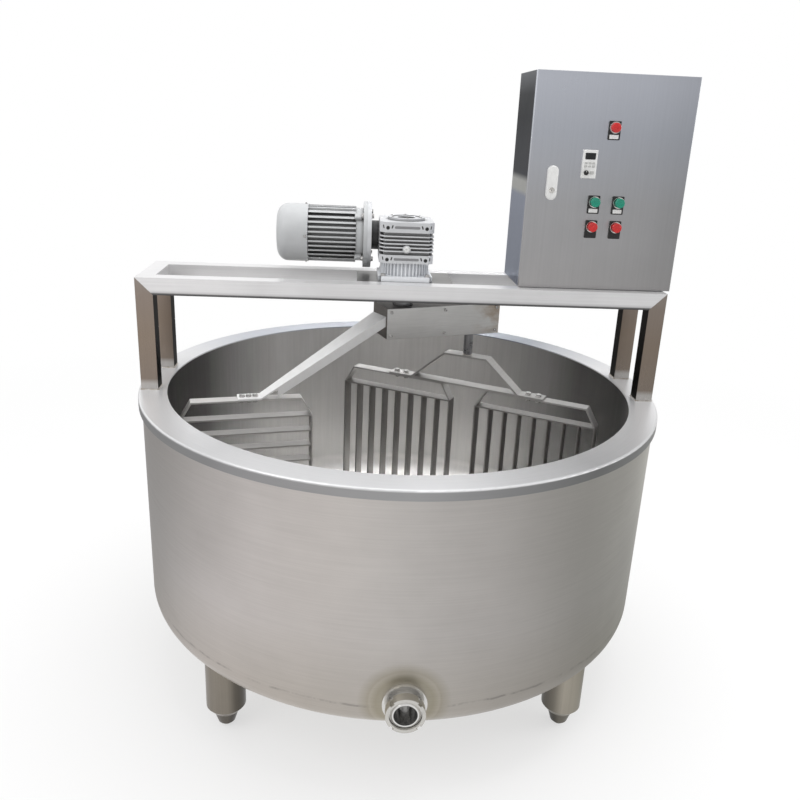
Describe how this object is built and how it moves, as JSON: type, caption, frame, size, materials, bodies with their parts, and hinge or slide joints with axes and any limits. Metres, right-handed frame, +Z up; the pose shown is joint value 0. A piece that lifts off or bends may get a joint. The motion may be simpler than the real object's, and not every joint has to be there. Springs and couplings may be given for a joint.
{
  "type": "cheese vat",
  "caption": "Round jacketed cheese vat on legs with a tube bridge, worm-gear motor, planetary stirrer with slatted cutting harps, drain outlet and a control cabinet.",
  "frame": {"origin": "on the tank axis at floor level", "axes": "+Z up, the drain points to -Y, the bridge runs along X with the cabinet at +X"},
  "size_m": [1.5998, 1.68, 1.851],
  "materials": {
    "shell_steel": "satin brushed stainless",
    "bright_steel": "brushed stainless",
    "polished_steel": "polished stainless",
    "cast_aluminium": "cast and blasted",
    "motor_paint": "semi-gloss paint",
    "bronze": "machined",
    "shaft_steel": "turned",
    "insulation_wool": "mineral wool",
    "zinc_sheet": "zinc plated",
    "black_plastic": "moulded",
    "grey_plastic": "moulded",
    "white_plastic": "moulded",
    "red_plastic": "moulded",
    "green_plastic": "moulded",
    "seal_rubber": "foamed"
  },
  "bodies": {
    "vat": {"outer_shell": "shell_steel", "inner_tank": "shell_steel", "heating_jacket": "shell_steel", "insulation": "insulation_wool", "rim_ring": "bright_steel", "drain_pipe": "polished_steel", "jacket_ports": "shell_steel", "legs": "shell_steel", "feet": "shell_steel", "front_rail": "bright_steel", "rear_rail": "bright_steel", "post_front_left": "shell_steel", "post_front_right": "shell_steel", "post_rear_left": "shell_steel", "post_rear_right": "shell_steel", "cross_tubes": "bright_steel", "drive_plate": "bright_steel", "gearbox_housing": "cast_aluminium", "gearbox_neck": "cast_aluminium", "gearbox_cover": "cast_aluminium", "motor_frame": "motor_paint", "motor_flange": "motor_paint", "fan_cover": "motor_paint", "terminal_box": "motor_paint", "sun_sprocket": "shaft_steel", "cabinet_body": "shell_steel", "mounting_panel": "zinc_sheet", "inverter": "grey_plastic", "contactors": "white_plastic", "cable_gland": "black_plastic", "hinge_pins": "polished_steel"},
    "nut": {"union_nut": "polished_steel"},
    "carrier": {"worm_wheel": "bronze", "main_shaft": "shaft_steel", "carrier_case": "shell_steel", "carrier_cover": "bright_steel", "drive_chain": "shaft_steel", "arm": "bright_steel", "fixed_bail": "shell_steel", "fixed_harp": "shell_steel"},
    "planet": {"planet_shaft": "shaft_steel", "planet_sprocket": "shaft_steel", "yoke": "shell_steel", "inner_bail": "shell_steel", "inner_harp": "shell_steel", "outer_bail": "shell_steel", "outer_harp": "shell_steel"},
    "motor_rotor": {"rotor": "shaft_steel", "cooling_fan": "black_plastic"},
    "door": {"cabinet_door": "shell_steel", "door_seal": "seal_rubber", "keypad": "white_plastic", "button_bezels": "polished_steel", "pilot_lamp": "red_plastic"},
    "lock": {"lock_handle": "polished_steel"},
    "knob": {"speed_knob": "black_plastic"},
    "start_left": {"start_button_left": "green_plastic"},
    "start_right": {"start_button_right": "green_plastic"},
    "stop_left": {"stop_button_left": "red_plastic"},
    "stop_right": {"stop_button_right": "red_plastic"}
  },
  "joints": [
    {"name": "nut_spin", "type": "hinge", "parent": "vat", "child": "nut", "pos_m": [0, -0.8155, 0.31], "axis": [0, -1, 0], "continuous": true},
    {"name": "carrier_orbit", "type": "hinge", "parent": "vat", "child": "carrier", "pos_m": [0, 0, 1.121], "axis": [0, 0, 1], "continuous": true},
    {"name": "planet_spin", "type": "hinge", "parent": "carrier", "child": "planet", "pos_m": [0.22623, 0.08011, 1.05], "axis": [0, 0, 1], "continuous": true},
    {"name": "motor_spin", "type": "hinge", "parent": "vat", "child": "motor_rotor", "pos_m": [-0.2, 0.075, 1.363], "axis": [1, 0, 0], "continuous": true},
    {"name": "door_hinge", "type": "hinge", "parent": "vat", "child": "door", "pos_m": [0.789, -0.093, 1.5], "axis": [0, 0, 1], "range_deg": [0, 100]},
    {"name": "lock_turn", "type": "hinge", "parent": "door", "child": "lock", "pos_m": [0.405, -0.102, 1.57675], "axis": [0, -1, 0], "range_deg": [0, 90]},
    {"name": "knob_turn", "type": "hinge", "parent": "door", "child": "knob", "pos_m": [0.4986, -0.115, 1.5846], "axis": [0, -1, 0], "range_deg": [-150, 150]},
    {"name": "start_left_press", "type": "slide", "parent": "door", "child": "start_left", "axis": [0, 1, 0], "range_m": [0, 0.004], "stiffness_N_per_m": 400},
    {"name": "start_right_press", "type": "slide", "parent": "door", "child": "start_right", "axis": [0, 1, 0], "range_m": [0, 0.004], "stiffness_N_per_m": 400},
    {"name": "stop_left_press", "type": "slide", "parent": "door", "child": "stop_left", "axis": [0, 1, 0], "range_m": [0, 0.004], "stiffness_N_per_m": 400},
    {"name": "stop_right_press", "type": "slide", "parent": "door", "child": "stop_right", "axis": [0, 1, 0], "range_m": [0, 0.004], "stiffness_N_per_m": 400}
  ],
  "couplings": [
    {"joint": "planet_spin", "follows": "carrier_orbit", "ratio": -2},
    {"joint": "motor_spin", "follows": "carrier_orbit", "ratio": 50}
  ]
}
